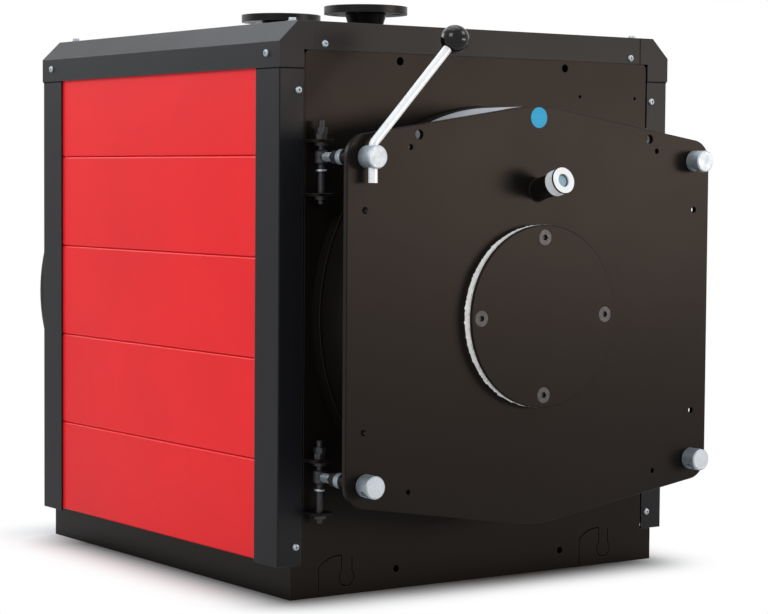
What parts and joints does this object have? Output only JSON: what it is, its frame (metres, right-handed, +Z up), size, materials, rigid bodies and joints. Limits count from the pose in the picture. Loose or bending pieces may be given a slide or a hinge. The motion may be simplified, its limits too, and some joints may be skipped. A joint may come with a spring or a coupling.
{
  "type": "heating boiler",
  "caption": "Floor-standing steel fire-tube heating boiler with red side panels, a hinged burner door with a blind cover, capstan nuts and a lever, and flanged pipe connections on top.",
  "frame": {"origin": "centre of the whole part's outline on the floor", "axes": "+X to the right seen from the door, +Y from the door to the flue, +Z up"},
  "size_m": [0.899, 1.3822, 1.083],
  "materials": {
    "casing_grey": "satin paint",
    "panel_red": "smooth satin powder coat",
    "cover_grey": "satin paint",
    "front_black": "semi-gloss paint",
    "black_steel": "matt primer",
    "zinc": "bright zinc plate",
    "pin_black": "oiled black oxide",
    "badge_blue": "satin film",
    "refractory": "cast refractory",
    "fibre": "ceramic fibre",
    "sight_glass": "polished",
    "knob_black": "gloss"
  },
  "bodies": {
    "boiler": {"base_rail_left": "front_black", "base_rail_right": "front_black", "saddles": "black_steel", "left_side_panels": "panel_red", "right_side_panels": "panel_red", "left_top_rail": "casing_grey", "right_top_rail": "casing_grey", "front_left_post": "casing_grey", "front_right_post": "casing_grey", "rear_left_post": "casing_grey", "rear_right_post": "casing_grey", "top_cover": "cover_grey", "front_panel": "front_black", "rear_panel": "front_black", "barrel": "front_black", "front_tube_plate": "black_steel", "rear_tube_plate": "black_steel", "furnace": "black_steel", "smoke_tubes": "black_steel", "smoke_box": "front_black", "flue_spigot": "black_steel", "flow_connection": "black_steel", "return_connection": "black_steel", "left_hinge_brackets": "front_black", "right_hinge_brackets": "front_black", "left_hinge_pins": "pin_black", "right_hinge_pins": "pin_black", "right_eye_bolts": "pin_black", "right_collars": "zinc"},
    "door": {"door_plate": "front_black", "door_drum": "front_black", "door_refractory": "refractory", "door_rope": "fibre", "burner_gasket": "fibre", "burner_cover": "front_black", "sight_tube": "front_black", "sight_ferrule": "zinc", "sight_lens": "sight_glass", "door_badge": "badge_blue", "clamp_nuts": "zinc", "left_eye_bolts": "pin_black", "left_collars": "zinc"},
    "lever": {"lever_nut": "zinc", "lever_rod": "zinc", "lever_knob": "knob_black"}
  },
  "joints": [
    {"name": "door_hinge", "type": "hinge", "parent": "boiler", "child": "door", "pos_m": [-0.374, -0.47394, 0.5], "axis": [0, 0, -1], "range_deg": [0, 90]},
    {"name": "lever_turn", "type": "hinge", "parent": "door", "child": "lever", "pos_m": [-0.374, -0.63254, 0.781], "axis": [0, -1, 0], "range_deg": [0, 180]}
  ]
}
